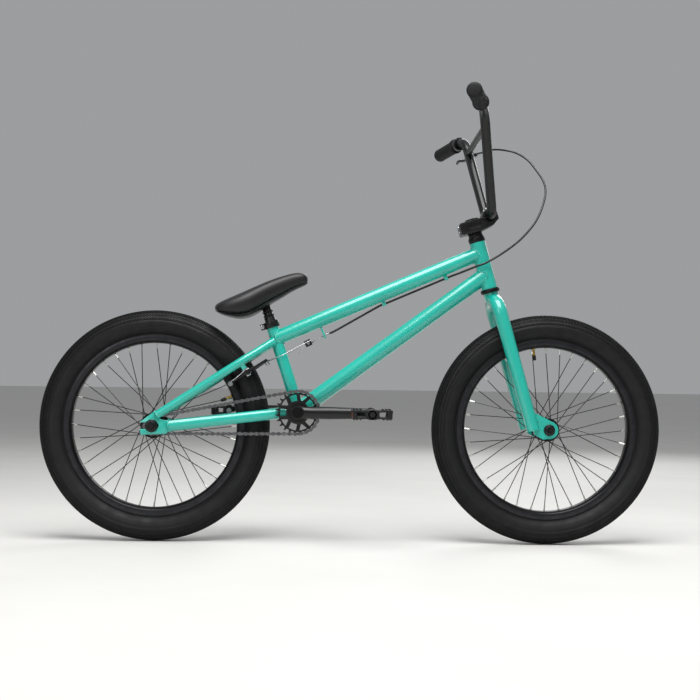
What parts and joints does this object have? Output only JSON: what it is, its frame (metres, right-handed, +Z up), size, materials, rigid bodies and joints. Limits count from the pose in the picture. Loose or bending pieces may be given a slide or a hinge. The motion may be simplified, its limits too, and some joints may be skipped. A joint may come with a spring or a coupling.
{
  "type": "bmx bicycle",
  "caption": "BMX bicycle with a welded tubular frame, straight fork, high-rise handlebar, single-speed chain drive, spoked wheels and a lever-pulled rear U-brake.",
  "frame": {"origin": "on the ground, midway between the two wheel axles and at the bottom centre of the whole box", "axes": "+X forward, +Y to the rider's left, +Z up; the drive side is at -Y"},
  "size_m": [1.434, 0.756, 0.9879],
  "materials": {
    "teal_paint": "gloss enamel on welded steel tube",
    "black_metal": "satin black coated metal",
    "black_rubber": "matte moulded rubber",
    "tyre_rubber": "matte tyre rubber with a low knurled tread",
    "black_plastic": "moulded black plastic",
    "bright_steel": "plated steel",
    "chain_steel": "oiled steel chain"
  },
  "bodies": {
    "frame": {"head_tube": "teal_paint", "top_tube": "teal_paint", "down_tube": "teal_paint", "seat_tube": "teal_paint", "bottom_bracket_shell": "teal_paint", "bottom_bracket_bearing_right": "black_metal", "bottom_bracket_bearing_left": "black_metal", "chain_stay_right": "teal_paint", "chain_stay_left": "teal_paint", "seat_stay_right": "teal_paint", "seat_stay_left": "teal_paint", "rear_dropout_right": "teal_paint", "rear_dropout_left": "teal_paint", "seat_clamp": "black_metal", "seat_clamp_bolt": "bright_steel", "headset_cup_lower": "black_metal", "headset_cup_upper": "black_metal", "rear_axle": "black_metal", "rear_axle_nut_right": "black_metal", "rear_axle_nut_left": "black_metal", "chain": "chain_steel", "brake_cable_housing": "black_rubber", "brake_inner_wire": "bright_steel", "brake_straddle_wire": "bright_steel"},
    "seat": {"seat_post": "black_metal", "saddle_base": "black_plastic", "saddle_cover": "black_plastic"},
    "steering": {"fork": "teal_paint", "headset_spacer": "black_metal", "stem": "black_metal", "stem_bar_cap": "black_metal", "stem_top_cap": "black_metal", "handlebar": "black_metal", "grip_right": "black_rubber", "grip_left": "black_rubber", "brake_lever_perch": "black_metal", "front_axle": "black_metal", "front_axle_nut_right": "black_metal", "front_axle_nut_left": "black_metal"},
    "brake_lever": {"brake_lever_blade": "black_metal"},
    "front_wheel": {"front_hub_with_spokes": "black_metal", "front_rim": "black_metal", "front_tyre": "tyre_rubber"},
    "rear_wheel": {"rear_hub_with_spokes": "black_metal", "rear_rim": "black_metal", "rear_tyre": "tyre_rubber"},
    "driver": {"rear_driver_cog": "chain_steel"},
    "crankset": {"crank_spindle": "black_metal", "crank_arm_right": "black_metal", "crank_arm_left": "black_metal", "sprocket": "black_metal", "pedal_axle_right": "bright_steel", "pedal_axle_left": "bright_steel"},
    "pedal_right": {"pedal_body_right": "black_plastic"},
    "pedal_left": {"pedal_body_left": "black_plastic"},
    "brake_arm_right": {"brake_arm_right": "black_metal", "brake_pad_right": "black_rubber"},
    "brake_arm_left": {"brake_arm_left": "black_metal", "brake_pad_left": "black_rubber"},
    "brake_hanger": {"brake_straddle_hanger": "black_metal"}
  },
  "joints": [
    {"name": "steering", "type": "hinge", "parent": "frame", "child": "steering", "pos_m": [0.3049, 0, 0.6441], "axis": [-0.2646, 0, 0.9644], "range_deg": [-75, 75], "deforming": ["brake_cable_housing"]},
    {"name": "front_wheel_spin", "type": "hinge", "parent": "steering", "child": "front_wheel", "pos_m": [0.452, 0, 0.265], "axis": [0, 1, 0], "continuous": true},
    {"name": "rear_wheel_spin", "type": "hinge", "parent": "frame", "child": "rear_wheel", "pos_m": [-0.452, 0, 0.265], "axis": [0, 1, 0], "continuous": true},
    {"name": "crank_spin", "type": "hinge", "parent": "frame", "child": "crankset", "pos_m": [-0.122, 0, 0.2985], "axis": [0, 1, 0], "continuous": true},
    {"name": "driver_spin", "type": "hinge", "parent": "frame", "child": "driver", "pos_m": [-0.452, 0, 0.265], "axis": [0, 1, 0], "continuous": true},
    {"name": "pedal_right_spin", "type": "hinge", "parent": "crankset", "child": "pedal_right", "pos_m": [0.043, 0, 0.2985], "axis": [0, 1, 0], "continuous": true},
    {"name": "pedal_left_spin", "type": "hinge", "parent": "crankset", "child": "pedal_left", "pos_m": [-0.287, 0, 0.2985], "axis": [0, 1, 0], "continuous": true},
    {"name": "seat_post_slide", "type": "slide", "parent": "frame", "child": "seat", "axis": [-0.3113, 0, 0.9503], "range_m": [0, 0.05]},
    {"name": "brake_lever_pull", "type": "hinge", "parent": "steering", "child": "brake_lever", "pos_m": [0.29325, 0.23305, 0.94722], "axis": [0.672, 0.1703, 0.7207], "range_deg": [0, 11], "stiffness_Nm_per_rad": 1, "springref_deg": -5.73, "deforming": ["brake_inner_wire", "brake_straddle_wire"]},
    {"name": "brake_arm_right_swing", "type": "hinge", "parent": "frame", "child": "brake_arm_right", "pos_m": [-0.23976, -0.0435, 0.3889], "axis": [0.549, 0, -0.8358], "range_deg": [0, 2.2]},
    {"name": "brake_arm_left_swing", "type": "hinge", "parent": "frame", "child": "brake_arm_left", "pos_m": [-0.23976, 0.0435, 0.3889], "axis": [0.549, 0, -0.8358], "range_deg": [-2.2, 0]},
    {"name": "brake_hanger_lift", "type": "slide", "parent": "frame", "child": "brake_hanger", "axis": [0.8966, 0, 0.4428], "range_m": [0, 0.0015]}
  ],
  "couplings": [
    {"joint": "driver_spin", "follows": "crank_spin", "ratio": 2.6667},
    {"joint": "brake_arm_left_swing", "follows": "brake_lever_pull", "ratio": -0.2},
    {"joint": "brake_arm_right_swing", "follows": "brake_lever_pull", "ratio": 0.2},
    {"joint": "brake_hanger_lift", "follows": "brake_lever_pull", "m_per_rad": 0.007812}
  ]
}
